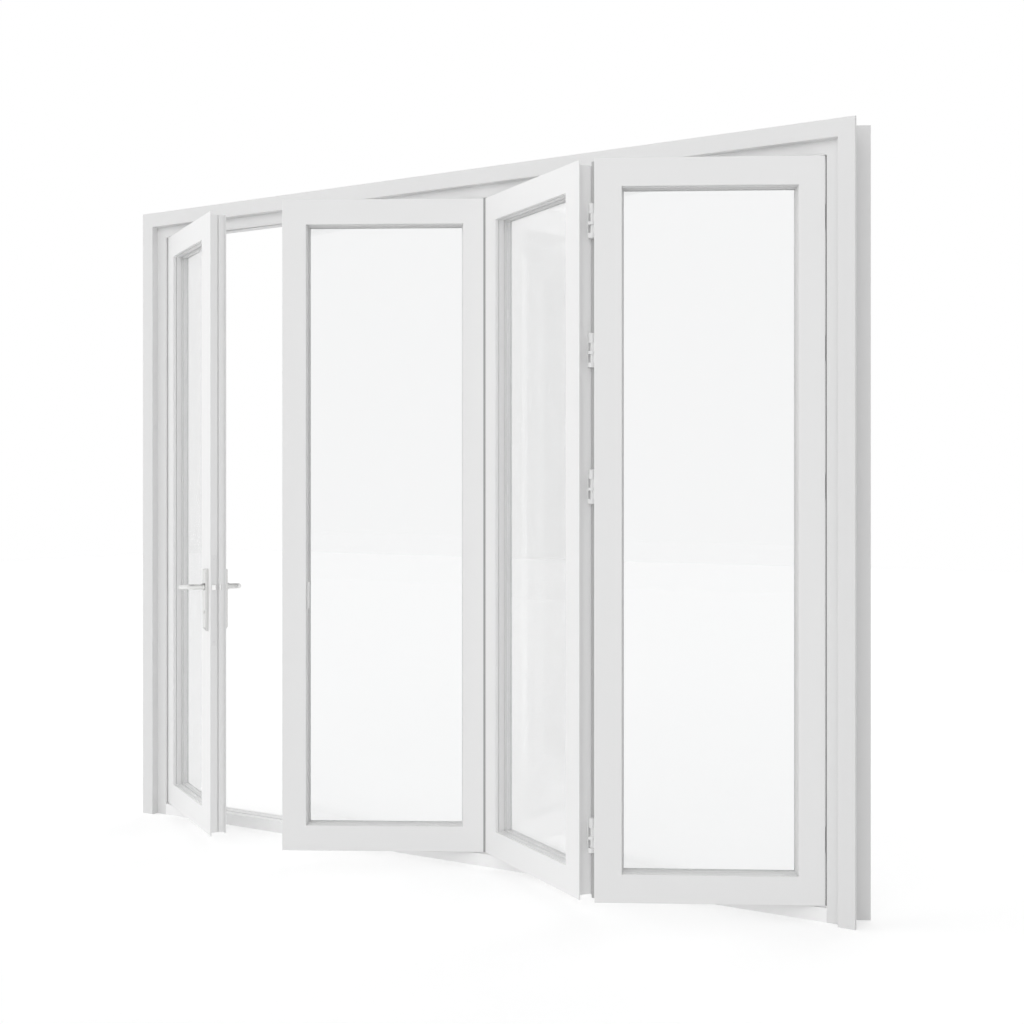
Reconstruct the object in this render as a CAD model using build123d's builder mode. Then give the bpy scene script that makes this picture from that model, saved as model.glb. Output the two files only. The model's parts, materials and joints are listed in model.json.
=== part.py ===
from build123d import *
import os
from math import asin, cos, degrees, radians, sin

# A four leaf bifold patio door in its frame: one traffic door on the left jamb and a
# stack of three folding leaves on the right jamb, all opening to the outside.
# Millimetres. X runs along the sill, Y into the house, Z up.
# The origin is the middle of the sill's flat underside.

os.makedirs("parts", exist_ok=True)

# Frame
frame_width = 3000.0
frame_height = 2385.0
frame_depth = 115.0
recess_depth = 28.0
flange_width = 55.0
flange_thickness = 9.0
wall_lap = 45.0
jamb_width = 101.4
head_width = 93.2
sill_height = 43.0
sill_upstand = 1.5
frame_edge_radius = 1.5

# Splayed trim on the room side
trim_root = 25.0
trim_thickness = 4.5
trim_grip = 12.6
trim_reach = 40.7
trim_throw = 12.3
trim_edge = 4.0
trim_heel = 17.0
trim_seat = 1.0

# Leaves
leaf_setback = 6.0
leaf_thickness = 60.0
leaf_clearance = 5.0
jamb_gap = 6.0
leaf_gap = 6.4
door_angle = 31.0
free_angle = 32.0
stack_angle = 31.4
rail_face = 86.0
outer_lip = 5.0
inner_lip = 5.0
core_inset = 12.0
inner_inset = 6.0
groove_depth = 28.5
groove_width = 6.0
groove_cut = 6.0
lock_rebate_width = 11.0
lock_rebate_cut = 6.0
sash_edge_radius = 1.6
fold_pivot_depth = 47.0

# Each leaf's width, brought to the clear width below, and the faces of its left and right stiles
leaf_widths = {"leaf_1": 682.0, "leaf_2": 695.4, "leaf_3": 699.8, "leaf_4": 688.8}
stile_faces = {
    "leaf_1": (90.0, 128.0),
    "leaf_2": (83.0, 71.0),
    "leaf_3": (83.0, 90.0),
    "leaf_4": (83.0, 79.0),
}

# Glazing
glass_thickness = 14.0
glass_rebate = 10.0
glass_edge_clearance = 2.0
bead_setback = 12.0
bead_joint = 1.2
bead_nose = 1.5
bead_width = 5.0
bead_groove_start = 31.5
bead_groove_width = 4.5
bead_groove_cut = 2.0

# Tracks
track_width = 32.0
track_height = 24.0
track_wall = 2.5
track_slot = 14.0
guide_width = 14.0
guide_depth = 10.0
guide_wall = 2.0

# Lever handle and lock of the traffic door
handle_backset = 47.0
spindle_height = 939.0
plate_width = 42.0
plate_length = 226.0
plate_thickness = 11.0
plate_drop = 47.0
plate_head_slope = 4.0
plate_foot_slope = 14.0
plate_edge_radius = 1.5
lever_running_gap = 0.5
lever_radius = 10.0
lever_projection = 48.5
lever_length = 150.0
lever_bend = 14.0
lever_droop = 9.0
lever_tip_radius = 4.0
collar_radius = 13.0
collar_height = 7.0
spindle_size = 8.0
spindle_hole_radius = 7.0
lock_strip_length = 325.0
lock_strip_width = 20.0
lock_strip_thickness = 2.0
lock_strip_depth = 13.0
latch_width = 18.0
latch_height = 20.0
latch_throw = 9.0
latch_bevel = 5.0
snib_width = 5.5
snib_depth = 35.5
snib_throw = 6.0
latch_edge_radius = 1.5

# Finger pull on the free leaf
pull_height = 925.0
pull_length = 99.0
pull_width = 6.0
pull_end_slope = 6.0

# Hinges and pivots
lowest_hinge_rise = 195.0
hinge_drops = (988.0, 575.0, 183.0)
hinge_length = 104.0
hinge_near_depth = 36.5
hinge_far_depth = 46.0
hinge_plate = 3.0
knuckle_offset = 30.0
lug_radius = 8.0
lug_length = 29.0
neck_radius = 4.0
upper_neck_length = 26.0
hook_radius = 12.0
hook_length = 9.0
foot_radius = 12.0
foot_length = 14.0
jamb_hinge_length = 75.0
jamb_hinge_near = 10.0
jamb_hinge_far = 24.0
jamb_hinge_step = 8.0
pivot_radius = 4.0
pivot_nose = 5.0
pivot_plate = 2.5
pivot_reach = 46.0
pivot_length = 12.0
pivot_running_gap = 0.1
pivot_depth = 30.0
carrier_length = 70.0
carrier_gap = 1.5
stem_radius = 5.0
guide_stem_radius = 3.0
guide_shoe_length = 30.0
guide_gap = 1.0
foot_width = 24.0
foot_thickness = 6.0

# Planes and places that follow from the sizes
half_width = frame_width / 2
recess_y = (recess_depth - frame_depth) / 2
face_y = recess_y - recess_depth
back_y = face_y + frame_depth
seat_y = back_y - trim_grip
lap_y = face_y + flange_thickness
body_half = half_width - wall_lap
flange_half = half_width - flange_width
opening_half = half_width - jamb_width
flange_low = frame_height - flange_width
body_top = frame_height - wall_lap
trim_top = body_top + trim_reach
soffit = frame_height - head_width

leaf_y = recess_y + leaf_setback
track_y = leaf_y + leaf_thickness / 2
leaf_bottom = sill_height + leaf_clearance
leaf_top = soffit - leaf_clearance
hinge_side = opening_half - jamb_gap
clear_width = 2 * hinge_side - 3 * leaf_gap
widths = {name: width * clear_width / sum(leaf_widths.values()) for name, width in leaf_widths.items()}
glass_setback = leaf_thickness - inner_lip - glass_thickness

# The folded stack in plan, worked out from the right jamb to the free leaf
run = cos(radians(stack_angle))
rise = sin(radians(stack_angle))
tip_y = leaf_y - widths["leaf_4"] * rise
leaf_4_left = hinge_side - widths["leaf_4"] * run
leaf_3_right = leaf_4_left - leaf_gap * run - 2 * fold_pivot_depth * rise
fold_angle = degrees(asin((leaf_y - tip_y) / widths["leaf_3"]))
leaf_3_left = leaf_3_right - widths["leaf_3"] * cos(radians(fold_angle))
leaf_2_right = leaf_3_left - leaf_gap
leaf_2_left = leaf_2_right - widths["leaf_2"] * cos(radians(free_angle))
free_tip_y = leaf_y - widths["leaf_2"] * sin(radians(free_angle))

# A sash section in layers: start and end depth, outer inset, and how far it laps the glazed opening
sash_layers = (
    (0, outer_lip, 0, 0),
    (outer_lip, bead_setback, core_inset, 0),
    (bead_setback, leaf_thickness - inner_lip, core_inset, -glass_rebate),
    (leaf_thickness - inner_lip, leaf_thickness, inner_inset, bead_width),
)


def save(piece, name):
    """Labels a finished piece and writes it as its own file."""
    piece.label = name
    export_step(piece, f"parts/{name}.step")


def face_plane(left_x, left_y, angle):
    """The outside face of a leaf: X along the leaf, Y up, Z out of the house."""
    turn = radians(angle)
    return Plane(origin=(left_x, left_y, 0), x_dir=(cos(turn), sin(turn), 0), z_dir=(sin(turn), -cos(turn), 0))


def plan_point(leaf, across, depth):
    """A point of a leaf in plan: across from its left edge, depth behind its outside face."""
    point = leaf.from_local_coords((across, 0, -depth))
    return (point.X, point.Y)


def prism(points, plane, direction, amount):
    """A closed outline drawn on a plane and carried a distance along a direction."""
    with BuildSketch(plane) as outline:
        with BuildLine():
            Polyline(*points, close=True)
        make_face()
    extrude(outline.sketch, amount=amount, dir=direction)


def upright(points, low, high):
    """A plan outline carried from one height to another."""
    prism(points, Plane.XY.offset(low), (0, 0, 1), high - low)


def lengthwise(points, depth, thickness):
    """An outline seen from the outside, X and Z, carried into the house from a depth."""
    prism(points, Plane.XZ.offset(-depth), (0, 1, 0), thickness)


leaves = {
    "leaf_1": face_plane(-hinge_side, leaf_y, -door_angle),
    "leaf_2": face_plane(leaf_2_left, free_tip_y, free_angle),
    "leaf_3": face_plane(leaf_3_left, leaf_y, -fold_angle),
    "leaf_4": face_plane(leaf_4_left, tip_y, stack_angle),
}

corners = {
    "left_stile": ((0, 0), (0, 1)),
    "top_rail": ((0, 1), (1, 1)),
    "right_stile": ((1, 1), (1, 0)),
    "bottom_rail": ((1, 0), (0, 0)),
}


def outline_corner(name, corner, inset):
    """A corner of a leaf's outline, drawn in by an inset except on the door's square lock edge."""
    side_inset = 0 if (name, corner[0]) == ("leaf_1", 1) else inset
    across = widths[name] - side_inset if corner[0] else side_inset
    height = leaf_top - inset if corner[1] else leaf_bottom + inset
    return (across, height)


def sight_corner(name, corner, lap):
    """A corner of a leaf's glazed opening, made smaller by a lap on every side."""
    left_face, right_face = stile_faces[name]
    across = widths[name] - right_face - lap if corner[0] else left_face + lap
    height = leaf_top - rail_face - lap if corner[1] else leaf_bottom + rail_face + lap
    return (across, height)


def side_layer(name, side, start, end, inset, lap):
    """One mitred layer of a leaf's side, from its outline in to its glazed opening."""
    first, second = corners[side]
    points = [
        outline_corner(name, first, inset),
        outline_corner(name, second, inset),
        sight_corner(name, second, lap),
        sight_corner(name, first, lap),
    ]
    prism(points, leaves[name].offset(-start), -leaves[name].z_dir, end - start)


def sight_rectangle(name, lap, mode=Mode.ADD):
    """The rectangle of a leaf's glazed opening, made smaller by a lap on every side."""
    left, low = sight_corner(name, (0, 0), lap)
    right, high = sight_corner(name, (1, 1), lap)
    with Locations(((left + right) / 2, (low + high) / 2)):
        Rectangle(right - left, high - low, mode=mode)


def ring(name, start, end, lap):
    """A closed ring from the foot of the glass rebate to a lap over the glazed opening."""
    with BuildSketch(leaves[name].offset(-start)) as outline:
        sight_rectangle(name, -glass_rebate)
        sight_rectangle(name, lap, Mode.SUBTRACT)
    extrude(outline.sketch, amount=end - start, dir=-leaves[name].z_dir)


# Jambs, each with its outer flange, the recessed face behind it and a shallow seat for the trim
for name, side in (("left_jamb", -1), ("right_jamb", 1)):
    with BuildPart() as jamb:
        lengthwise(
            [
                (side * half_width, 0),
                (side * flange_half, 0),
                (side * flange_half, flange_low),
                (side * half_width, frame_height),
            ],
            face_y,
            flange_thickness,
        )
        lengthwise(
            [
                (side * body_half, 0),
                (side * flange_half, 0),
                (side * flange_half, flange_low),
                (side * body_half, body_top),
            ],
            lap_y,
            recess_y - lap_y,
        )
        lengthwise(
            [
                (side * body_half, 0),
                (side * opening_half, 0),
                (side * opening_half, soffit),
                (side * body_half, body_top),
            ],
            recess_y,
            seat_y - recess_y,
        )
        lengthwise(
            [
                (side * (body_half - trim_seat), 0),
                (side * opening_half, 0),
                (side * opening_half, soffit),
                (side * (body_half - trim_seat), body_top - trim_seat),
            ],
            seat_y,
            trim_grip,
        )
        front = jamb.faces().sort_by(Axis.Y)[0]
        fillet(front.edges().filter_by(Axis.Z), frame_edge_radius)
    save(jamb.part, name)

# Head, with the pocket that the top track lies in
with BuildPart() as head:
    lengthwise(
        [
            (-half_width, frame_height),
            (-flange_half, flange_low),
            (flange_half, flange_low),
            (half_width, frame_height),
        ],
        face_y,
        flange_thickness,
    )
    lengthwise(
        [
            (-body_half, body_top),
            (-flange_half, flange_low),
            (flange_half, flange_low),
            (body_half, body_top),
        ],
        lap_y,
        recess_y - lap_y,
    )
    lengthwise(
        [
            (-body_half, body_top),
            (-opening_half, soffit),
            (opening_half, soffit),
            (body_half, body_top),
        ],
        recess_y,
        seat_y - recess_y,
    )
    lengthwise(
        [
            (trim_seat - body_half, body_top - trim_seat),
            (-opening_half, soffit),
            (opening_half, soffit),
            (body_half - trim_seat, body_top - trim_seat),
        ],
        seat_y,
        trim_grip,
    )
    with BuildSketch(Plane.XY.offset(soffit)) as track_pocket:
        with Locations((0, track_y)):
            Rectangle(2 * opening_half, track_width)
    extrude(track_pocket.sketch, amount=track_height, mode=Mode.SUBTRACT)
    with BuildSketch(Plane.XY.offset(soffit)) as pivot_bore:
        with Locations((-hinge_side, leaf_y)):
            Circle(pivot_radius + pivot_running_gap)
    extrude(pivot_bore.sketch, amount=pivot_length + leaf_clearance, mode=Mode.SUBTRACT)
    front = head.faces().sort_by(Axis.Y)[0]
    fillet(front.edges().filter_by(Axis.X), frame_edge_radius)
save(head.part, "head")

# Sill, with an upstand behind the leaves and a slot for the bottom guide
upstand_y = leaf_y + leaf_thickness + leaf_clearance
with BuildPart() as sill:
    lengthwise(
        [
            (-opening_half, 0),
            (opening_half, 0),
            (opening_half, sill_height),
            (-opening_half, sill_height),
        ],
        recess_y,
        back_y - recess_y,
    )
    with BuildSketch(Plane.XY.offset(sill_height)) as upstand:
        with Locations((0, (upstand_y + back_y) / 2)):
            Rectangle(2 * opening_half, back_y - upstand_y)
    extrude(upstand.sketch, amount=sill_upstand)
    with BuildSketch(Plane.XY.offset(sill_height)) as guide_pocket:
        with Locations((0, track_y)):
            Rectangle(2 * opening_half, guide_width)
    extrude(guide_pocket.sketch, amount=-guide_depth, mode=Mode.SUBTRACT)
    with BuildSketch(Plane.XY.offset(sill_height)) as pivot_bore:
        with Locations((-hinge_side, leaf_y)):
            Circle(pivot_radius + pivot_running_gap)
    extrude(pivot_bore.sketch, amount=-(pivot_length + leaf_clearance), mode=Mode.SUBTRACT)
    fillet(sill.faces().sort_by(Axis.Y)[0].edges().filter_by(Axis.X).sort_by(Axis.Z)[-1], frame_edge_radius)
save(sill.part, "sill")

# Splayed trims around the room side: the uprights run to the top and the head's trim lies between them.
# The section runs out from the jamb's back edge, X away from the opening, Y into the room.
trim_section = [
    (-trim_root, 0),
    (-trim_seat, 0),
    (-trim_seat, -trim_grip),
    (0, -trim_grip),
    (trim_reach, trim_throw),
    (trim_reach, trim_throw + trim_edge),
    (trim_reach - trim_edge, trim_throw + trim_edge),
    (trim_heel, trim_thickness),
    (-trim_root, trim_thickness),
]
for name, side in (("left_back_trim", -1), ("right_back_trim", 1)):
    with BuildPart() as trim:
        upright([(side * (body_half + out), back_y + inward) for out, inward in trim_section], 0, trim_top)
    save(trim.part, name)

head_trim_half = body_half - trim_root
with BuildPart() as head_trim:
    across_start = Plane(origin=(-head_trim_half, 0, 0), x_dir=(0, 1, 0), z_dir=(1, 0, 0))
    prism(
        [(back_y + inward, body_top + out) for out, inward in trim_section],
        across_start,
        (1, 0, 0),
        2 * head_trim_half,
    )
save(head_trim.part, "head_back_trim")

# Top track, a slotted channel in the head, and the guide channel in the sill
slot_edge = (track_width - track_slot) / 2
with BuildPart() as top_track:
    with BuildSketch(Plane.YZ.offset(-opening_half)) as channel:
        with Locations((track_y, soffit + track_height / 2)):
            Rectangle(track_width, track_height)
            Rectangle(track_width - 2 * track_wall, track_height - 2 * track_wall, mode=Mode.SUBTRACT)
        with Locations((track_y, soffit + track_wall / 2)):
            Rectangle(track_slot, track_wall, mode=Mode.SUBTRACT)
    extrude(channel.sketch, amount=2 * opening_half, dir=(1, 0, 0))
save(top_track.part, "top_track")

with BuildPart() as bottom_track:
    with BuildSketch(Plane.YZ.offset(-opening_half)) as channel:
        with Locations((track_y, sill_height - guide_depth / 2)):
            Rectangle(guide_width, guide_depth)
        with Locations((track_y, sill_height - guide_depth / 2 + guide_wall / 2)):
            Rectangle(guide_width - 2 * guide_wall, guide_depth - guide_wall, mode=Mode.SUBTRACT)
    extrude(channel.sketch, amount=2 * opening_half, dir=(1, 0, 0))
save(bottom_track.part, "bottom_track")

# Where the handle and the lock sit on the traffic door
door = leaves["leaf_1"]
door_width = widths["leaf_1"]
spindle_across = door_width - handle_backset


def lock_edge(depth):
    """The door's free edge at a depth: X into the house, Y up, Z off the leaf."""
    return Plane(
        origin=door.from_local_coords((door_width, 0, -depth)),
        x_dir=-door.z_dir,
        z_dir=door.x_dir,
    )


def edge_cut(depth, width, amount):
    """A channel cut into the door's free edge over its whole height."""
    with BuildSketch(lock_edge(depth)) as channel:
        with Locations((0, (leaf_bottom + leaf_top) / 2)):
            Rectangle(width, leaf_top - leaf_bottom)
    extrude(channel.sketch, amount=amount, dir=-door.x_dir, mode=Mode.SUBTRACT)


# Leaves: mitred stiles and rails, one pane and its bead each
bead_groove_end = bead_groove_start + bead_groove_width
for leaf_name, leaf in leaves.items():
    for side in corners:
        with BuildPart() as member:
            for start, end, inset, lap in sash_layers:
                side_layer(leaf_name, side, start, end, inset, lap)
            along = Axis.Z if "stile" in side else Axis((0, 0, 0), leaf.x_dir)
            outward = Axis((0, 0, 0), leaf.z_dir)
            outside = member.faces().sort_by(outward)[-1]
            fillet(outside.edges().filter_by(along), sash_edge_radius)
            if leaf_name == "leaf_1" and side == "right_stile":
                with BuildSketch(leaf) as spindle_hole:
                    with Locations((spindle_across, spindle_height)):
                        Circle(spindle_hole_radius)
                extrude(spindle_hole.sketch, amount=leaf_thickness, dir=-leaf.z_dir, mode=Mode.SUBTRACT)
            if leaf_name == "leaf_1" and side != "left_stile":
                edge_cut(groove_depth, groove_width, groove_cut)
                edge_cut(leaf_thickness - lock_rebate_width / 2, lock_rebate_width, lock_rebate_cut)
        save(member.part, f"{leaf_name}_{side}")

    with BuildPart() as glass:
        with BuildSketch(leaf.offset(-glass_setback)) as pane:
            sight_rectangle(leaf_name, glass_edge_clearance - glass_rebate)
        extrude(pane.sketch, amount=glass_thickness, dir=-leaf.z_dir)
    save(glass.part, f"{leaf_name}_glass")

    with BuildPart() as bead:
        ring(leaf_name, bead_setback + bead_joint, bead_groove_start, bead_nose)
        ring(leaf_name, bead_groove_start, bead_groove_end, -bead_groove_cut)
        ring(leaf_name, bead_groove_end, glass_setback, bead_width)
    save(bead.part, f"{leaf_name}_bead")

# Backplates of the lever handle, outside and inside
plate_centre = spindle_height - plate_drop
plate_low = plate_centre - plate_length / 2
plate_high = plate_centre + plate_length / 2
for name, depth, way in (("outer_backplate", 0, 1), ("inner_backplate", leaf_thickness, -1)):
    with BuildPart() as backplate:
        outward = way * door.z_dir
        side_view = Plane(
            origin=door.from_local_coords((spindle_across - plate_width / 2, 0, -depth)),
            x_dir=outward,
            z_dir=outward.cross(Vector(0, 0, 1)),
        )
        plate_profile = [
            (0, plate_low),
            (plate_thickness, plate_low + plate_foot_slope),
            (plate_thickness, plate_high - plate_head_slope),
            (0, plate_high),
        ]
        prism(plate_profile, side_view, door.x_dir, plate_width)
        proud = backplate.faces().sort_by(Axis((0, 0, 0), outward))[-1]
        fillet(proud.edges(), plate_edge_radius)
        with BuildSketch(door.offset(-depth)) as spindle_hole:
            with Locations((spindle_across, spindle_height)):
                Circle(spindle_hole_radius)
        extrude(spindle_hole.sketch, amount=plate_thickness, dir=outward, mode=Mode.SUBTRACT)
    save(backplate.part, name)

# Levers: a collar, a round neck out of the plate and a round grip that falls a little towards the hinges
lever_plane = Plane(
    origin=door.from_local_coords((spindle_across, spindle_height, 0)),
    x_dir=door.x_dir * lever_length + Vector(0, 0, lever_droop),
    z_dir=Vector(0, 0, lever_length) - door.x_dir * lever_droop,
)


def lever(start, way):
    """A lever whose collar starts at a depth and whose neck runs out that way."""
    with BuildLine(lever_plane) as route:
        FilletPolyline(
            (0, start),
            (0, start + way * lever_projection),
            (-lever_length, start + way * lever_projection),
            radius=lever_bend,
        )
    base = Plane(origin=route.line @ 0, z_dir=route.line % 0)
    with BuildSketch(base) as section:
        Circle(lever_radius)
    sweep(section.sketch, path=route.line)
    with BuildSketch(base) as collar:
        Circle(collar_radius)
    extrude(collar.sketch, amount=collar_height, dir=route.line % 0)


lever_stand = plate_thickness + lever_running_gap
with BuildPart() as outer_lever:
    lever(-lever_stand, -1)
    tip = outer_lever.faces().filter_by(GeomType.PLANE).sort_by(Axis((0, 0, 0), door.x_dir))[0]
    fillet(tip.edges(), lever_tip_radius)
save(outer_lever.part, "outer_lever")

with BuildPart() as inner_lever:
    lever(leaf_thickness + lever_stand, 1)
    tip = inner_lever.faces().filter_by(GeomType.PLANE).sort_by(Axis((0, 0, 0), door.x_dir))[0]
    fillet(tip.edges(), lever_tip_radius)
    with BuildSketch(door.offset(lever_stand)) as spindle:
        with Locations((spindle_across, spindle_height)):
            Rectangle(spindle_size, spindle_size)
    extrude(spindle.sketch, amount=leaf_thickness + 2 * lever_stand, dir=-door.z_dir)
save(inner_lever.part, "inner_lever")

# Lock strip, bevelled latch and its locking snib on the traffic door's free edge
with BuildPart() as lock_strip:
    with BuildSketch(lock_edge(lock_strip_depth)) as strip:
        with Locations((0, plate_centre)):
            Rectangle(lock_strip_width, lock_strip_length)
    extrude(strip.sketch, amount=lock_strip_thickness, dir=door.x_dir)
save(lock_strip.part, "lock_strip")

with BuildPart() as latch_bolt:
    with BuildSketch(lock_edge(lock_strip_depth).offset(lock_strip_thickness)) as bolt:
        with Locations((0, spindle_height)):
            Rectangle(latch_width, latch_height)
    extrude(bolt.sketch, amount=latch_throw, dir=door.x_dir)
    bolt_end = latch_bolt.faces().sort_by(Axis((0, 0, 0), door.x_dir))[-1]
    leading = bolt_end.edges().sort_by(Axis((0, 0, 0), -door.z_dir))[-1]
    chamfer(leading, latch_bevel)
    with BuildSketch(lock_edge(snib_depth)) as snib:
        with Locations((0, spindle_height)):
            Rectangle(snib_width, latch_height)
    extrude(snib.sketch, amount=snib_throw, dir=door.x_dir)
    off_edge = Axis((0, 0, 0), door.x_dir)
    noses = latch_bolt.faces().filter_by(off_edge).sort_by(off_edge)[-2:]
    for nose in noses:
        fillet(nose.edges(), latch_edge_radius)
save(latch_bolt.part, "latch_bolt")

# Finger pull in the glazing reveal of the free leaf
free_leaf = leaves["leaf_2"]
pull_base = stile_faces["leaf_2"][0] + bead_nose
with BuildPart() as finger_pull:
    prism(
        [
            (pull_base, pull_height - pull_length / 2),
            (pull_base + pull_width, pull_height - pull_length / 2 + pull_end_slope),
            (pull_base + pull_width, pull_height + pull_length / 2 - pull_end_slope),
            (pull_base, pull_height + pull_length / 2),
        ],
        free_leaf.offset(-(bead_setback + bead_joint)),
        -free_leaf.z_dir,
        bead_groove_start - bead_setback - bead_joint,
    )
save(finger_pull.part, "finger_pull")

# Hinges between folding leaves: plates on the two edges and a web that bridges them
def edge_point(name, right_edge, stand, depth):
    """A point off a leaf's core edge in plan, standing out from it at a depth."""
    across = widths[name] - core_inset + stand if right_edge else core_inset - stand
    return plan_point(leaves[name], across, depth)


def bridge(left_name, right_name, low, high):
    """A web between the facing core edges of two leaves."""
    upright(
        [
            edge_point(left_name, True, 0, hinge_near_depth),
            edge_point(left_name, True, 0, hinge_far_depth),
            edge_point(right_name, False, 0, hinge_far_depth),
            edge_point(right_name, False, 0, hinge_near_depth),
        ],
        low,
        high,
    )


def edge_plate(name, right_edge, low, high):
    """A thin plate on a leaf's core edge."""
    upright(
        [
            edge_point(name, right_edge, 0, hinge_near_depth),
            edge_point(name, right_edge, 0, hinge_far_depth),
            edge_point(name, right_edge, hinge_plate, hinge_far_depth),
            edge_point(name, right_edge, hinge_plate, hinge_near_depth),
        ],
        low,
        high,
    )


def barrel(radius, across, inward, low, high):
    """An upright round barrel between two heights."""
    with BuildSketch(Plane.XY.offset(low)) as outline:
        with Locations((across, inward)):
            Circle(radius)
    extrude(outline.sketch, amount=high - low)


hinge_heights = [leaf_bottom + lowest_hinge_rise] + [leaf_top - drop for drop in hinge_drops]
lower_neck_length = hinge_length - lug_length - upper_neck_length - hook_length - foot_length
apex_x = (leaf_3_right + leaf_4_left) / 2
knuckle_y = tip_y + knuckle_offset
with BuildPart() as panel_hinges:
    for height in hinge_heights:
        low = height - hinge_length / 2
        high = height + hinge_length / 2
        edge_plate("leaf_3", True, low, high)
        edge_plate("leaf_4", False, low, high)
        bridge("leaf_3", "leaf_4", high - lug_length, high)
        bridge("leaf_3", "leaf_4", low, low + foot_length)
        upright(
            [
                (apex_x, knuckle_y - neck_radius),
                (apex_x, knuckle_y + neck_radius),
                edge_point("leaf_4", False, 0, hinge_far_depth),
                edge_point("leaf_4", False, 0, hinge_near_depth),
            ],
            low,
            high,
        )
        level = high
        for radius, length in (
            (lug_radius, lug_length),
            (neck_radius, upper_neck_length),
            (hook_radius, hook_length),
            (neck_radius, lower_neck_length),
            (foot_radius, foot_length),
        ):
            barrel(radius, apex_x, knuckle_y, level - length, level)
            level -= length
save(panel_hinges.part, "panel_hinges")

with BuildPart() as track_hinges:
    for height in hinge_heights:
        bridge("leaf_2", "leaf_3", height - hinge_length / 2, height + hinge_length / 2)
save(track_hinges.part, "track_hinges")

# Hinges between the stack and the right jamb
with BuildPart() as jamb_hinges:
    for height in hinge_heights:
        upright(
            [
                (opening_half, leaf_y + jamb_hinge_step),
                (opening_half, leaf_y + jamb_hinge_step + jamb_hinge_far - jamb_hinge_near),
                edge_point("leaf_4", True, 0, jamb_hinge_far),
                edge_point("leaf_4", True, 0, jamb_hinge_near),
            ],
            height - jamb_hinge_length / 2,
            height + jamb_hinge_length / 2,
        )
save(jamb_hinges.part, "jamb_hinges")

# Trolley in the top track and guide in the sill, both carried by the track hinges
hanger_x = (leaf_2_right + leaf_3_left) / 2
trolley_low = soffit + track_wall
trolley_high = soffit + track_height - track_wall - carrier_gap
trolley_width = track_width - 2 * track_wall - 2 * carrier_gap
upper_foot = max(hinge_heights) + hinge_length / 2
lower_foot = min(hinge_heights) - hinge_length / 2
shoe_low = sill_height - guide_depth + guide_wall + guide_gap
shoe_width = guide_width - 2 * guide_wall - 2 * guide_gap
foot_y = track_y - (foot_width - 2 * stem_radius) / 2
with BuildPart() as track_carriers:
    with BuildSketch(Plane.XY.offset(upper_foot)) as foot:
        with Locations((hanger_x, foot_y)):
            Rectangle(foot_width, foot_width)
    extrude(foot.sketch, amount=foot_thickness)
    barrel(stem_radius, hanger_x, track_y, upper_foot, trolley_low)
    with BuildSketch(Plane.XY.offset(trolley_low)) as trolley:
        with Locations((hanger_x, track_y)):
            Rectangle(carrier_length, trolley_width)
    extrude(trolley.sketch, amount=trolley_high - trolley_low)
    with BuildSketch(Plane.XY.offset(lower_foot)) as foot:
        with Locations((hanger_x, foot_y)):
            Rectangle(foot_width, foot_width)
    extrude(foot.sketch, amount=-foot_thickness)
    barrel(guide_stem_radius, hanger_x, track_y, shoe_low, lower_foot)
    with BuildSketch(Plane.XY.offset(shoe_low)) as shoe:
        with Locations((hanger_x, track_y)):
            Rectangle(guide_shoe_length, shoe_width)
    extrude(shoe.sketch, amount=sill_height - shoe_low)
save(track_carriers.part, "track_carriers")

# Top and bottom pivots of the traffic door, on its outside hinge corner
with BuildPart() as door_pivots:
    for edge, way, stop in (
        (leaf_top, 1, soffit + pivot_length),
        (leaf_bottom, -1, sill_height - pivot_length),
    ):
        plate_face = edge + way * pivot_plate
        plate_outline = [
            plan_point(door, 0, 0),
            plan_point(door, pivot_reach, 0),
            plan_point(door, pivot_reach, pivot_depth),
            plan_point(door, core_inset, pivot_depth),
            plan_point(door, 0, outer_lip),
        ]
        block_outline = [
            plan_point(door, core_inset, outer_lip),
            plan_point(door, pivot_reach, outer_lip),
            plan_point(door, pivot_reach, pivot_depth),
            plan_point(door, core_inset, pivot_depth),
        ]
        upright(plate_outline, min(edge, plate_face), max(edge, plate_face))
        upright(block_outline, min(edge, edge - way * core_inset), max(edge, edge - way * core_inset))
        barrel(pivot_nose, -hinge_side, leaf_y, min(edge, plate_face), max(edge, plate_face))
        barrel(pivot_radius, -hinge_side, leaf_y, min(plate_face, stop), max(plate_face, stop))
save(door_pivots.part, "door_pivots")
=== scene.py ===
import bmesh
import bpy
import json
import math
import numpy as np
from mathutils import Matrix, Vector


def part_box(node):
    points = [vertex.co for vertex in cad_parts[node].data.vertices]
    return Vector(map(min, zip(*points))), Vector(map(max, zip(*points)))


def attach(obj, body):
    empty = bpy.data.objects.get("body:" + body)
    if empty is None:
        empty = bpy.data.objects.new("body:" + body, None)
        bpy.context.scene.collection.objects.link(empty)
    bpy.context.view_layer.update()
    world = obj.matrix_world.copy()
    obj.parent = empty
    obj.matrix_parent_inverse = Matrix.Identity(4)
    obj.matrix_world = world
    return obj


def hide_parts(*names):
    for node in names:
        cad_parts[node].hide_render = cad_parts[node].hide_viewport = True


# Four leaf bifold patio door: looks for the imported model, in metres
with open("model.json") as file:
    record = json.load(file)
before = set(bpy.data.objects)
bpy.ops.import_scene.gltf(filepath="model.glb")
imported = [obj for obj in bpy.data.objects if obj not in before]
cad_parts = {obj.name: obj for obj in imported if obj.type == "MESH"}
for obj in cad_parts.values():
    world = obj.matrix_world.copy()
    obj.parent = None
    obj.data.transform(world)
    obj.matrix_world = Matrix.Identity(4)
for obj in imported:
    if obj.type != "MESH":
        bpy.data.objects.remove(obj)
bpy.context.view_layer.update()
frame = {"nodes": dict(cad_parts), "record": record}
nodes = frame["nodes"]
print("stage: frame loaded with", len(nodes), "pieces")

# Studio

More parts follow.
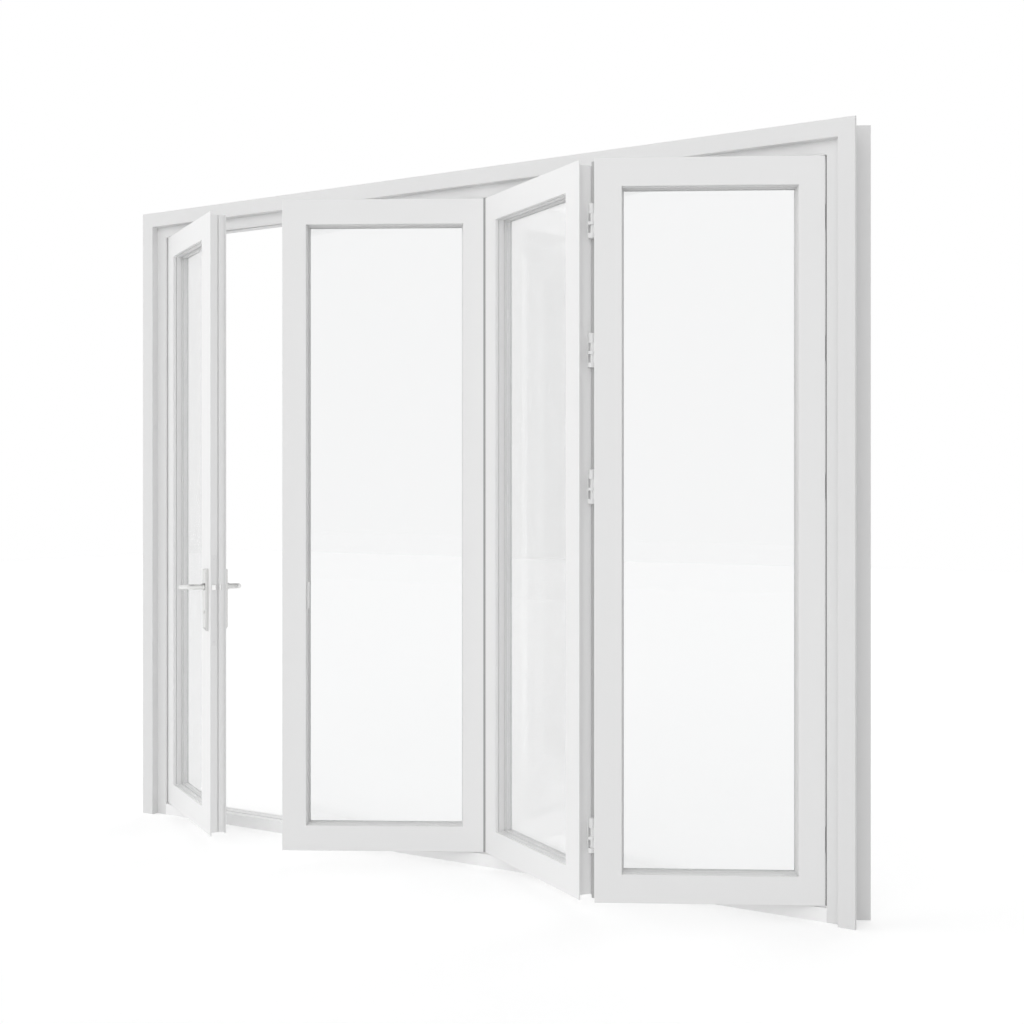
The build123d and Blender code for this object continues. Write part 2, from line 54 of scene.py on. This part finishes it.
studio = {
    "cameraPlace": (3.308, -4.4955, 1.2934),
    "cameraTilt": 90.0,  # degrees from straight down: it looks level
    "cameraTurn": 34.36,  # degrees to the left of straight at the door
    "lens": 56.13,
    "sensor": 36.0,
    "shiftDown": -0.0231,
    "viewReach": 200.0,
    "floorSize": 40.0,
    "floorColour": "#E4E4E4",
    # light added to the floor where the camera, glass or reflections look, so that it runs out to white
    "floorLift": 0.405,
    "skyLight": 0.548,
    "skyWhite": 1.0,  # the strength that shows as white
    # reflections find a dimmer studio overhead: the upward part of the direction at which it starts and ends
    "dimFrom": 0.45,
    "dimTo": 0.90,
    "dimBy": -0.55,
}
lamps = {
    # soft distant lamps: the way each one shines, how wide it is in degrees, and its strength
    "key": ((-0.25, 0.95, -0.22), 60.0, 0.93),  # on the frame's front
    "left": ((0.85, 0.49, -0.22), 60.0, 0.94),  # on the leaves that face left
    "bounce": ((0.15, 0.45, 0.88), 90.0, 0.70),  # up from the floor
    "back": ((0.20, -0.90, -0.40), 60.0, 0.9),  # on the room side
}


def linear(hexColour):  # sRGB hex to the linear values that a shader takes
    parts = np.array([int(hexColour[i:i + 2], 16) for i in (1, 3, 5)]) / 255.0
    values = np.where(parts <= 0.04045, parts / 12.92, ((parts + 0.055) / 1.055) ** 2.4)
    return (*[float(value) for value in values], 1.0)


def addNode(tree, kind, settings=None, links=None):
    # one node: a setting names a socket or a property, a link names a socket
    node = tree.nodes.new(kind)
    for name, value in (settings or {}).items():
        if isinstance(name, int) or name in node.inputs:
            node.inputs[name].default_value = value
        else:
            setattr(node, name, value)
    for name, source in (links or {}).items():
        tree.links.new(source, node.inputs[name])
    return node


def newMaterial(name):
    material = bpy.data.materials.new(name)
    material.use_nodes = True
    material.node_tree.nodes.clear()
    return material, material.node_tree


def whereSeen(tree):
    # the light path, and a value of 1 on rays of the camera, of reflections and through glass, else 0
    path = addNode(tree, "ShaderNodeLightPath")
    seen = addNode(tree, "ShaderNodeMath", {"operation": "MAXIMUM"},
                   {0: path.outputs["Is Camera Ray"], 1: path.outputs["Is Glossy Ray"]})
    seen = addNode(tree, "ShaderNodeMath", {"operation": "MAXIMUM"},
                   {0: seen.outputs[0], 1: path.outputs["Is Transmission Ray"]})
    return path, seen.outputs[0]


def addCamera():
    # level, in front of the door and to its right, as in the photo
    lens = bpy.data.cameras.new("studioCamera")
    lens.sensor_width = studio["sensor"]
    lens.lens = studio["lens"]
    lens.shift_y = studio["shiftDown"]
    lens.clip_end = studio["viewReach"]
    camera = bpy.data.objects.new("studioCamera", lens)
    camera.location = studio["cameraPlace"]
    camera.rotation_euler = (math.radians(studio["cameraTilt"]), 0, math.radians(studio["cameraTurn"]))
    bpy.context.scene.collection.objects.link(camera)
    bpy.context.scene.camera = camera


def addSky():
    # white where the camera or the glass looks, dimmer overhead in reflections, an even grey as light
    world = bpy.data.worlds.new("studioSky")
    bpy.context.scene.world = world
    world.use_nodes = True
    tree = world.node_tree
    tree.nodes.clear()
    path, seen = whereSeen(tree)
    place = addNode(tree, "ShaderNodeTexCoord")
    way = addNode(tree, "ShaderNodeSeparateXYZ", None, {0: place.outputs["Generated"]})
    dim = addNode(tree, "ShaderNodeMapRange",
                  {"From Min": studio["dimFrom"], "From Max": studio["dimTo"], "To Min": 0.0,
                   "To Max": studio["dimBy"]}, {"Value": way.outputs["Z"]})
    mirrored = addNode(tree, "ShaderNodeMath", {"operation": "SUBTRACT", "use_clamp": True},
                       {0: path.outputs["Is Glossy Ray"], 1: path.outputs["Is Transmission Ray"]})
    glow = addNode(tree, "ShaderNodeMath", {"operation": "MULTIPLY_ADD", 2: studio["skyWhite"]},
                   {0: mirrored.outputs[0], 1: dim.outputs[0]})
    light = addNode(tree, "ShaderNodeBackground", {"Color": (1, 1, 1, 1), "Strength": studio["skyLight"]})
    white = addNode(tree, "ShaderNodeBackground", {"Color": (1, 1, 1, 1)}, {"Strength": glow.outputs[0]})
    both = addNode(tree, "ShaderNodeMixShader", None, {0: seen, 1: light.outputs[0], 2: white.outputs[0]})
    addNode(tree, "ShaderNodeOutputWorld", None, {"Surface": both.outputs[0]})


def addLamps():
    for name, (aim, width, strength) in lamps.items():
        lamp = bpy.data.lights.new(name + "Lamp", "SUN")
        lamp.angle = math.radians(width)
        lamp.energy = strength
        stand = bpy.data.objects.new(name + "Lamp", lamp)
        aim = np.array(aim)
        stand.rotation_euler = (
            math.acos(-aim[2] / np.linalg.norm(aim)),
            0,
            math.atan2(aim[1], aim[0]) - math.pi / 2,
        )
        stand.visible_glossy = False  # no lamp shows in the glass or through it
        stand.visible_transmission = False
        bpy.context.scene.collection.objects.link(stand)


def addFloor():
    # pale floor that keeps a soft shadow and runs out to white
    half = studio["floorSize"] / 2
    mesh = bpy.data.meshes.new("studioFloor")
    corners = [(-half, -half, 0), (half, -half, 0), (half, half, 0), (-half, half, 0)]
    mesh.from_pydata(corners, [], [(0, 1, 2, 3)])
    floor = bpy.data.objects.new("studioFloor", mesh)
    floor.visible_shadow = False  # the bounce lamp shines up through it
    bpy.context.scene.collection.objects.link(floor)
    material, tree = newMaterial("paleStudioFloor")
    matte = addNode(tree, "ShaderNodeBsdfDiffuse", {"Color": linear(studio["floorColour"])})
    seen = whereSeen(tree)[1]
    lift = addNode(tree, "ShaderNodeMath", {"operation": "MULTIPLY", 1: studio["floorLift"]}, {0: seen})
    glow = addNode(tree, "ShaderNodeEmission", {"Color": (1, 1, 1, 1)}, {"Strength": lift.outputs[0]})
    both = addNode(tree, "ShaderNodeAddShader", None, {0: matte.outputs[0], 1: glow.outputs[0]})
    addNode(tree, "ShaderNodeOutputMaterial", None, {"Surface": both.outputs[0]})
    mesh.materials.append(material)


bpy.context.scene.view_settings.view_transform = "Standard"
addCamera()
addSky()
addLamps()
addFloor()
print("stage: studio built")

# Finishes

perMetre = 1000.0  # millimetres, for patterns sized in them

plastics = {
    # colour, roughness, how much the roughness varies, peel strength, peel size in millimetres

    # hard PVC pressed through a die: an even white with soft reflections that waver slowly along a profile
    # the frame's copy of the sash's white, made about a tenth darker, is painted shade on the frame and trim
    "satinPvcuFramePaintedShade": ("#E4E4E4", 0.36, 0.06, 0.025, 9.0),
    "satinPvcu": ("#F0F0F0", 0.34, 0.06, 0.025, 9.0),
    # the sill's whiter copy of the plastic is painted light, lifting the shade that the leaves cast on it
    "satinPvcuSillPaintedLight": ("#FAFAFA", 0.36, 0.06, 0.025, 9.0),
    "satinPvcuBead": ("#EAEAEA", 0.38, 0.06, 0.025, 7.0),
    # powder baked on metal: a finer peel, like orange skin, that breaks up the highlights
    "powderCoatedWhite": ("#ECECEC", 0.42, 0.08, 0.05, 2.5),
    "whiteCoatedAluminium": ("#F0F0F0", 0.36, 0.06, 0.03, 2.0),
    # moulded spacer and sealant round the panes: an even, nearly matt white
    "warmEdgeSpacer": ("#F2F2F2", 0.5, 0.05, 0.03, 1.5),
}
plasticSurface = {
    "ior": 1.53,
    "peelDepth": 0.0005,  # metres
    "peelDetail": 2.0,
    "cloudScale": 3.0,  # gloss that shifts over about a third of a metre
    "cloudDetail": 3.0,
}


def plasticFinish(name, colour, roughness, spread, relief, size):
    # an even colour, a faint orange peel and slightly uneven gloss
    material, tree = newMaterial(name)
    place = addNode(tree, "ShaderNodeTexCoord")
    peel = addNode(tree, "ShaderNodeTexNoise",
                   {"Scale": perMetre / size, "Detail": plasticSurface["peelDetail"]},
                   {"Vector": place.outputs["Object"]})
    cloud = addNode(tree, "ShaderNodeTexNoise",
                    {"Scale": plasticSurface["cloudScale"], "Detail": plasticSurface["cloudDetail"]},
                    {"Vector": place.outputs["Object"]})
    gloss = addNode(tree, "ShaderNodeMapRange",
                    {"To Min": roughness - spread, "To Max": roughness + spread},
                    {"Value": cloud.outputs[0]})
    bump = addNode(tree, "ShaderNodeBump", {"Strength": relief, "Distance": plasticSurface["peelDepth"]},
                   {"Height": peel.outputs[0]})
    shader = addNode(tree, "ShaderNodeBsdfPrincipled",
                     {"Base Color": linear(colour), "IOR": plasticSurface["ior"]},
                     {"Roughness": gloss.outputs[0], "Normal": bump.outputs[0]})
    addNode(tree, "ShaderNodeOutputMaterial", None, {"Surface": shader.outputs[0]})
    return material


metals = {
    # colour, roughness, how many times finer the streaks are along x, y and z, their length in millimetres
    "satinChrome": ("#E2E2E1", 0.20, (1, 1, 12), 1.0),  # brushed, then plated: bright, with soft streaks
    "brushedSteel": ("#D8D8D7", 0.20, (1, 1, 12), 1.2),  # brushed sheet: greyer than the plated levers
    "polishedSteel": ("#F2F2F1", 0.14, (1, 1, 4), 1.0),  # machined and polished: a bright spot of light
    "zincPlatedSteel": ("#E6E6E6", 0.30, (1, 1, 8), 2.0),  # rolled strip, plated: a dull sheen
    "nickelPlatedBrass": ("#D3D2D0", 0.26, (1, 1, 1), 1.0),  # turned and plated: slightly warm
}
metalSurface = {
    "smoother": 0.8,  # the roughness at the ends of the streaks' range, as shares of the metal's own
    "rougher": 1.25,
    "lineStrength": 0.06,
    "lineDepth": 0.0002,  # metres
    "lineDetail": 2.0,
}


def metalFinish(name, colour, roughness, finer, length):
    # fine streaks along one direction, as brushing or rolling leaves
    material, tree = newMaterial(name)
    place = addNode(tree, "ShaderNodeTexCoord")
    stretch = addNode(tree, "ShaderNodeMapping", {"Scale": finer}, {"Vector": place.outputs["Object"]})
    lines = addNode(tree, "ShaderNodeTexNoise",
                    {"Scale": perMetre / length, "Detail": metalSurface["lineDetail"]},
                    {"Vector": stretch.outputs[0]})
    gloss = addNode(tree, "ShaderNodeMapRange",
                    {"To Min": roughness * metalSurface["smoother"],
                     "To Max": roughness * metalSurface["rougher"]},
                    {"Value": lines.outputs[0]})
    bump = addNode(tree, "ShaderNodeBump",
                   {"Strength": metalSurface["lineStrength"], "Distance": metalSurface["lineDepth"]},
                   {"Height": lines.outputs[0]})
    shader = addNode(tree, "ShaderNodeBsdfPrincipled", {"Base Color": linear(colour), "Metallic": 1.0},
                     {"Roughness": gloss.outputs[0], "Normal": bump.outputs[0]})
    addNode(tree, "ShaderNodeOutputMaterial", None, {"Surface": shader.outputs[0]})
    return material


rubbers = {
    # colour and roughness; rubber pressed through a die is matt, and drinks up most of the light in a gap;
    # the near black seal is painted shade, the pale seal's lighter grey painted light
    "whiteGasketRubber": ("#DADADA", 0.62),  # round the glass and on the left jamb
    "greySealRubber": ("#A0A0A0", 0.6),  # between leaves 2 and 3
    "paintedLightSealRubber": ("#BEBEBE", 0.6),  # between leaves 3 and 4: lighter grey than the seal between leaves 2 and 3, painted light in this deep, shaded gap
    "paintedShadeSealRubber": ("#282828", 0.6),  # on the right jamb: near black, painted shade that darkens its gap
}
rubberSurface = {
    "ior": 1.5,
    "grain": 3.0,  # size in millimetres of the patches that are smoother or rougher
    "grainDetail": 2.0,
    "smoother": -0.06,  # what the patches add to the roughness
    "rougher": 0.08,
}


def rubberFinish(name, colour, roughness):
    # an even colour with slightly uneven, matt patches
    material, tree = newMaterial(name)
    place = addNode(tree, "ShaderNodeTexCoord")
    grain = addNode(tree, "ShaderNodeTexNoise",
                    {"Scale": perMetre / rubberSurface["grain"], "Detail": rubberSurface["grainDetail"]},
                    {"Vector": place.outputs["Object"]})
    gloss = addNode(tree, "ShaderNodeMapRange",
                    {"To Min": roughness + rubberSurface["smoother"],
                     "To Max": roughness + rubberSurface["rougher"]},
                    {"Value": grain.outputs[0]})
    shader = addNode(tree, "ShaderNodeBsdfPrincipled",
                     {"Base Color": linear(colour), "IOR": rubberSurface["ior"]},
                     {"Roughness": gloss.outputs[0]})
    addNode(tree, "ShaderNodeOutputMaterial", None, {"Surface": shader.outputs[0]})
    return material


glassLook = {
    "colour": "#F4F6F7",
    "faceColour": "#FDFDFD",  # what each face lets through
    "ior": 1.5,
    "clearShare": 0.88,  # the share that only lets light through, as a low reflection coating does
}


def glassFinish(name):
    # glass floated on molten tin and coated: flat and clear with faint reflections, open to the lamps' light
    material, tree = newMaterial(name)
    pane = addNode(tree, "ShaderNodeBsdfPrincipled",
                   {"Base Color": linear(glassLook["colour"]), "Roughness": 0.0, "IOR": glassLook["ior"],
                    "Transmission Weight": 1.0})
    through = addNode(tree, "ShaderNodeBsdfTransparent", {"Color": linear(glassLook["faceColour"])})
    path = addNode(tree, "ShaderNodeLightPath")
    share = addNode(tree, "ShaderNodeMath", {"operation": "MAXIMUM", 1: glassLook["clearShare"]},
                    {0: path.outputs["Is Shadow Ray"]})
    both = addNode(tree, "ShaderNodeMixShader", None,
                   {0: share.outputs[0], 1: pane.outputs[0], 2: through.outputs[0]})
    addNode(tree, "ShaderNodeOutputMaterial", None, {"Surface": both.outputs[0]})
    return material


finishes = {"floatGlass": glassFinish("floatGlass")}
for makeFinish, kinds in ((plasticFinish, plastics), (metalFinish, metals), (rubberFinish, rubbers)):
    for name, values in kinds.items():
        finishes[name] = makeFinish(name, *values)

slotFinish = {
    # frame and trim take the darker copy of the white: painted shade
    "white_upvc": "satinPvcuFramePaintedShade",
    "white_sash": "satinPvcu",
    "white_bead": "satinPvcuBead",
    "white_trim": "satinPvcuFramePaintedShade",
    "white_fitting": "powderCoatedWhite",
    "clear_glass": "floatGlass",
    "satin_chrome": "satinChrome",
    "lock_steel": "zincPlatedSteel",
    "track_aluminium": "whiteCoatedAluminium",
}
nodeFinish = {  # pieces that look a little different from the rest of their slot
    "outer_backplate": "brushedSteel",
    "inner_backplate": "brushedSteel",
    "latch_bolt": "polishedSteel",
    # the sill's whiter plastic is painted light against the leaves' shade
    "sill": "satinPvcuSillPaintedLight",
}
for subpart in frame["record"]["subparts"]:
    look = nodeFinish.get(subpart["node"], slotFinish[subpart["material_slot"]])
    piece = nodes[subpart["node"]]
    piece.data.materials.clear()
    piece.data.materials.append(finishes[look])
print("stage: finishes on the frame's pieces")

# Surfaces

sharpAngle = 35.0  # degrees between faces from which an edge stays sharp on a smooth piece


def gridMesh(name, grid, look, body, closeRows=False, smooth=False):
    # each row of the grid is a closed section; a face joins two neighbours of a row to the same two of the
    # next row, and the first and last rows are closed unless the rows themselves close into a ring
    rows, columns = grid.shape[:2]
    index = np.arange(rows * columns).reshape(rows, columns)
    here = index if closeRows else index[:-1]
    after = np.roll(index, -1, axis=0) if closeRows else index[1:]
    quads = np.stack([here, np.roll(here, -1, axis=1), np.roll(after, -1, axis=1), after], axis=-1)
    faces = quads.reshape(-1, 4).tolist()
    if not closeRows:
        faces += [index[0, ::-1].tolist(), index[-1].tolist()]
    mesh = bpy.data.meshes.new(name)
    mesh.from_pydata(grid.reshape(-1, 3).tolist(), [], faces)
    mesh.validate()
    turnOutwards(mesh, smooth)
    mesh.materials.append(finishes[look])
    piece = bpy.data.objects.new(name, mesh)
    bpy.context.scene.collection.objects.link(piece)
    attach(piece, body)
    return piece


def turnOutwards(mesh, smooth):
    # faces point outwards, and a smooth piece keeps its sharp edges
    work = bmesh.new()
    work.from_mesh(mesh)
    bmesh.ops.recalc_face_normals(work, faces=work.faces[:])
    work.to_mesh(mesh)
    work.free()
    if smooth:
        mesh.shade_smooth()
        mesh.set_sharp_from_angle(angle=math.radians(sharpAngle))


def nodePoints(name):
    # a node's vertices, one row of x, y and z each
    mesh = nodes[name].data
    points = np.empty(len(mesh.vertices) * 3)
    mesh.vertices.foreach_get("co", points)
    return points.reshape(-1, 3)


def leafFrame(name):
    # a leaf's own axes from its glass: along the leaf, which is the way in which the glass's plan spreads
    # most, out of the house and up, with half the glass's size on each
    points = nodePoints(name + "_glass")
    centre = (points.max(axis=0) + points.min(axis=0)) / 2
    spread = (points - centre)[:, :2]
    along = np.append(np.linalg.eigh(spread.T @ spread)[1][:, -1], 0.0)
    along *= np.sign(along[0])
    out = np.array((along[1], -along[0], 0.0))
    half = np.abs((points - centre) @ np.stack([along, out, (0, 0, 1)], axis=1)).max(axis=0)
    return {"centre": centre, "along": along, "out": out, "up": np.array((0.0, 0.0, 1.0)), "half": half}


def leafPoint(leaf, across, out, up):
    # the glass's middle plus across, out and up times the leaf's own axes
    return (leaf["centre"] + across[..., None] * leaf["along"] + out[..., None] * leaf["out"]
            + up[..., None] * leaf["up"])


def rectangleRows(leaf, section):
    # each (lap, out) pair of a section gives the four corners of the glass's rectangle, drawn in by lap and
    # moved out by out
    lap, out = np.array(section).T
    across = (leaf["half"][0] - lap)[:, None] * np.array((-1, 1, 1, -1))
    up = (leaf["half"][2] - lap)[:, None] * np.array((-1, -1, 1, 1))
    return leafPoint(leaf, across, np.repeat(out[:, None], 4, axis=1), up)


def ovalSection(width, depth, lapMiddle, outMiddle, count):
    # (lap, out) pairs on an oval: its middle plus half the width times the cosine of an even turn, and half
    # the depth times the sine
    turn = np.linspace(0, 2 * np.pi, count, endpoint=False)
    return np.stack([lapMiddle + width / 2 * np.cos(turn), outMiddle + depth / 2 * np.sin(turn)], axis=-1)


leafBodies = {"leaf_1": "door", "leaf_2": "frame", "leaf_3": "frame", "leaf_4": "frame"}
leaves = {name: leafFrame(name) for name in leafBodies}

# Double glazing

glazing = {
    "paneThickness": 0.004,
    "arris": 0.0004,
    "edgeSeal": 0.0125,  # width of the white seal and spacer round the panes, hidden by the bead
    "paneGap": 0.0002,
    # width over the glass and depth of the gasket on each side
    "outerGasket": (0.0020, 0.0026),
    "innerGasket": (0.0022, 0.0026),
    "gasketLap": 0.3,  # its middle's place past the bead, as a share of its width
    "gasketStand": 0.45,  # and off the glass, as a share of its depth
    "gasketPoints": 10,
    "beadLap": 0.013,  # how far the bead and the leg cover the glass's edge
}


def glazeLeaf(name, leaf):
    body = leafBodies[name]
    face = leaf["half"][1]
    thick, arris = glazing["paneThickness"], glazing["arris"]
    rim = glazing["edgeSeal"] + glazing["paneGap"]
    for side, start in (("outer", face - thick), ("inner", -face)):
        section = [(rim + arris, start), (rim, start + arris), (rim, start + thick - arris),
                   (rim + arris, start + thick)]
        pane = gridMesh(f"{name}_{side}_pane", rectangleRows(leaf, section), "floatGlass", body)
        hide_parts(name + "_glass")
    wide = glazing["edgeSeal"]
    section = [(arris, -face), (wide, -face), (wide, face), (arris, face)]
    gridMesh(name + "_edge_seal", rectangleRows(leaf, section), "warmEdgeSpacer", body,
             closeRows=True)
    for side, sign in (("outer", 1), ("inner", -1)):
        width, depth = glazing[side + "Gasket"]
        section = ovalSection(width, depth, glazing["beadLap"] + width * glazing["gasketLap"],
                              sign * (face + depth * glazing["gasketStand"]), glazing["gasketPoints"])
        gridMesh(f"{name}_{side}_gasket", rectangleRows(leaf, section), "whiteGasketRubber", body,
                 closeRows=True, smooth=True)


for name, leaf in leaves.items():
    glazeLeaf(name, leaf)
print("stage: double glazing")

# Weather seals

seals = {
    # on each jamb: how far the seal reaches into the gap, and how far it lies behind the jamb's front
    "leftReach": 0.0050,
    "leftSetback": 0.0010,
    "rightReach": 0.0080,
    "rightSetback": 0.0110,
    "bulbDepth": 0.0026,
    "bulbRadius": 0.0009,
    "headHeight": 0.0044,
    "headWidth": 0.0120,
    "headSetback": 0.0004,
    "headStart": 0.0004,
    "headRadius": 0.0012,
    "cornerPoints": 4,
    "foldDepths": (0.0065, 0.0110),  # behind the outside faces, between leaves 2 and 3
    "apexDepths": (0.0480, 0.0540),  # behind the outside faces, between leaves 3 and 4
    "coreInset": 0.012,  # from a leaf's outline to the edge of its core
    "apexGap": 0.0030,  # left open beside leaf 3
}


def sealMesh(name, grid, rubber):
    gridMesh(name, grid, rubber, "frame", smooth=True)


def upright(plan, low, high):
    # a plan outline carried from one height to another
    plan = np.array(plan)
    return np.stack([np.column_stack([plan, np.full(len(plan), level)]) for level in (low, high)])


def softBox(x0, x1, y0, y1, radius):
    # a rectangle, anticlockwise, whose corners are quarter turns of the radius about points set in by it
    turn = np.linspace(0, np.pi / 2, seals["cornerPoints"])
    corners = ((x1 - radius, y1 - radius, 0), (x0 + radius, y1 - radius, 1), (x0 + radius, y0 + radius, 2),
               (x1 - radius, y0 + radius, 3))
    return np.concatenate([
        np.stack([x + radius * np.cos(turn + k * np.pi / 2),
                  y + radius * np.sin(turn + k * np.pi / 2)], axis=-1)
        for x, y, k in corners])


def leafEdge(name, rightEdge):
    # the plan point of a leaf's outside corner, the way into the house and the way off the leaf
    leaf = leaves[name]
    stile = nodePoints(name + ("_right_stile" if rightEdge else "_left_stile")) - leaf["centre"]
    sign = 1 if rightEdge else -1
    across = sign * (stile @ leaf["along"] * sign).max()
    face = (stile @ leaf["out"]).max()
    corner = leaf["centre"] + across * leaf["along"] + face * leaf["out"]
    return corner[:2], -leaf["out"][:2], sign * leaf["along"][:2]


def betweenLeaves(name, leftLeaf, rightLeaf, depths, rubber, gap=0.0):
    # a rubber strip from core edge to core edge, between two depths behind the outside faces
    plan = []
    edges = ((leftLeaf, True, depths, gap), (rightLeaf, False, depths[::-1], 0.0))
    for edgeName, rightEdge, order, start in edges:
        corner, inward, off = leafEdge(edgeName, rightEdge)
        plan += [corner + inward * depth - off * (seals["coreInset"] - start) for depth in order]
    sealMesh(name, upright(plan, *leafHeights), rubber)


leafHeights = (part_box("leaf_4_left_stile")[0][2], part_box("leaf_4_left_stile")[1][2])
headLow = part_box("top_track")[0][2]
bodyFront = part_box("sill")[0][1]
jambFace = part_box("right_jamb")[0][0]
# the right jamb's near black seal is painted shade in the gap beside leaf 4
for side, sign, rubber in (("left", -1, "whiteGasketRubber"), ("right", 1, "paintedShadeSealRubber")):
    start = bodyFront + seals[side + "Setback"]
    plan = softBox(jambFace - seals[side + "Reach"], jambFace, start, start + seals["bulbDepth"],
                   seals["bulbRadius"])
    plan[:, 0] *= sign
    sealMesh(side + "_jamb_seal", upright(plan, *leafHeights), rubber)
plan = softBox(bodyFront + seals["headSetback"], bodyFront + seals["headSetback"] + seals["headWidth"],
               headLow - seals["headHeight"], headLow, seals["headRadius"])
grid = np.stack([np.column_stack([np.full(len(plan), x), plan])
                 for x in (-jambFace + seals["headStart"], jambFace - seals["headStart"])])
gridMesh("head_seal", grid, "powderCoatedWhite", "frame", smooth=True)
betweenLeaves("fold_seal", "leaf_2", "leaf_3", seals["foldDepths"], "greySealRubber")
# the seal between leaves 3 and 4 is a lighter grey: painted light in that deep gap
betweenLeaves("apex_seal", "leaf_3", "leaf_4", seals["apexDepths"], "paintedLightSealRubber", seals["apexGap"])
print("stage: weather seals")

# Lock cylinder and screws

lock = {
    "cylinderDrop": 0.092,  # from the lever's axis to the cylinder's
    "barrelRadius": 0.0085,
    "barrelPoints": 28,
    "neckHalf": 0.0050,
    "footPoints": 12,
    "profileHeight": 0.0330,
    "stand": 0.0003,  # out of the plate
    "rim": 0.0001,
    "seat": 0.0005,  # into the plate
    "plugRadius": 0.0064,
    "plugStand": 0.0003,
    "plugGrid": (34, 72),  # rings and spokes
    "keyway": (0.0008, 0.0042, 0.0030),  # half width, half height and depth
}
screws = {
    "plateInset": 0.0220,  # from the plate's ends
    "plateRadius": 0.0036,
    "stripPlaces": (-0.148, 0.148),  # along the lock strip from its middle
    "stripRadius": 0.0036,
    "dome": 0.0004,
    "recessDepth": 0.0010,
    "armHalf": 0.13,  # the cross recess's half width and reach, as shares of the head's radius
    "armReach": 0.58,
    "grid": (14, 40),  # rings and spokes
}
discs = {
    "start": 0.02,  # the first ring's reach as a share of the disc's radius
    "drop": 0.0004,  # how far the last ring sinks
}


def profileOutline():
    # the cylinder's outline: a round barrel above a narrower straight part with a round foot; barrel and foot
    # are their radius times the cosine and sine of an even turn
    half, radius = lock["neckHalf"], lock["barrelRadius"]
    start = math.asin(half / radius)
    turn = np.linspace(-np.pi / 2 + start, 1.5 * np.pi - start, lock["barrelPoints"])
    barrel = np.stack([radius * np.cos(turn), radius * np.sin(turn)], axis=-1)
    turn = np.linspace(np.pi, 2 * np.pi, lock["footPoints"])
    foot = radius - lock["profileHeight"] + half
    return np.concatenate([barrel, np.stack([half * np.cos(turn), foot + half * np.sin(turn)], axis=-1)])


def placed(flat, stand, centre, across, up, out):
    # flat (x, y) places and how far each stands out, set on a face
    return centre + flat[..., :1] * across + flat[..., 1:] * up + stand[..., None] * out


def discGrid(radius, counts, standOf):
    # a ring's reach times the cosine and sine of a spoke's turn gives x and y, and a function of these says
    # how far the point stands out; the last ring comes twice, the second time sunk into the face
    rings, spokes = counts
    reach = np.linspace(discs["start"], 1.0, rings) * radius
    turn = np.linspace(0, 2 * np.pi, spokes, endpoint=False)
    flat = np.stack([reach[:, None] * np.cos(turn), reach[:, None] * np.sin(turn)], axis=-1)
    stand = standOf(flat[..., 0], flat[..., 1])
    flat = np.concatenate([flat, flat[-1:]])
    return flat, np.concatenate([stand, np.full((1, spokes), -discs["drop"])])


def screwStand(radius):
    # a dome that falls with the square of the distance from its middle, with a cross recess: lower where x or
    # y is near the middle line and inside the recess's reach
    def stand(x, y):
        dome = screws["dome"] * (1 - (x ** 2 + y ** 2) / radius ** 2)
        arm = np.minimum(np.abs(x), np.abs(y)) < screws["armHalf"] * radius
        inside = np.maximum(np.abs(x), np.abs(y)) < screws["armReach"] * radius
        return np.where(arm & inside, dome - screws["recessDepth"], dome)
    return stand


def keywayStand(x, y):
    # level but for a deep slot where x and y are inside the keyway
    half, height, depth = lock["keyway"]
    return np.where((np.abs(x) < half) & (np.abs(y) < height), -depth, lock["plugStand"])


def addScrew(name, centre, across, up, out, radius, look):
    flat, stand = discGrid(radius, screws["grid"], screwStand(radius))
    gridMesh(name, placed(flat, stand, centre, across, up, out), look, "door", smooth=True)


door = leaves["leaf_1"]
leverHeight = np.mean([corner[2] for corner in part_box("latch_bolt")])
for side, sign in (("outer", 1), ("inner", -1)):
    plate = nodePoints(side + "_backplate") - door["centre"]
    across, out = door["along"] * sign, door["out"] * sign
    face = (plate @ out).max()
    spindle = (plate @ door["along"]).max() / 2 + (plate @ door["along"]).min() / 2
    onPlate = door["centre"] + door["along"] * spindle + out * face
    centre = np.array((onPlate[0], onPlate[1], leverHeight - lock["cylinderDrop"]))
    outline = profileOutline()
    inner = outline * (1 - lock["rim"] / lock["barrelRadius"])
    rows = [(outline, -lock["seat"]), (outline, lock["stand"] - lock["rim"]), (inner, lock["stand"])]
    grid = np.stack([placed(flat, np.full(len(flat), stand), centre, across, door["up"], out)
                     for flat, stand in rows])
    gridMesh(side + "_lock_cylinder", grid, "brushedSteel", "door")
    flat, stand = discGrid(lock["plugRadius"], lock["plugGrid"], keywayStand)
    grid = placed(flat, stand, centre + out * lock["stand"], across, door["up"], out)
    gridMesh(side + "_cylinder_plug", grid, "nickelPlatedBrass", "door")
    if side == "inner":
        for k, level in enumerate((plate[:, 2].min() + screws["plateInset"],
                                   plate[:, 2].max() - screws["plateInset"])):
            place = onPlate.copy()
            place[2] = door["centre"][2] + level
            addScrew(f"plate_screw_{k + 1}", place, across, door["up"], out, screws["plateRadius"],
                     "satinChrome")

strip = nodePoints("lock_strip") - door["centre"]
stripFace = (strip @ door["along"]).max()
stripOut = (strip @ door["out"]).mean()
for k, level in enumerate(screws["stripPlaces"]):
    place = door["centre"] + door["along"] * stripFace + door["out"] * stripOut
    place[2] = np.mean([corner[2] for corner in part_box("lock_strip")]) + level
    addScrew(f"strip_screw_{k + 1}", place, -door["out"], door["up"], door["along"], screws["stripRadius"],
             "zincPlatedSteel")
print("stage: lock cylinder and screws")
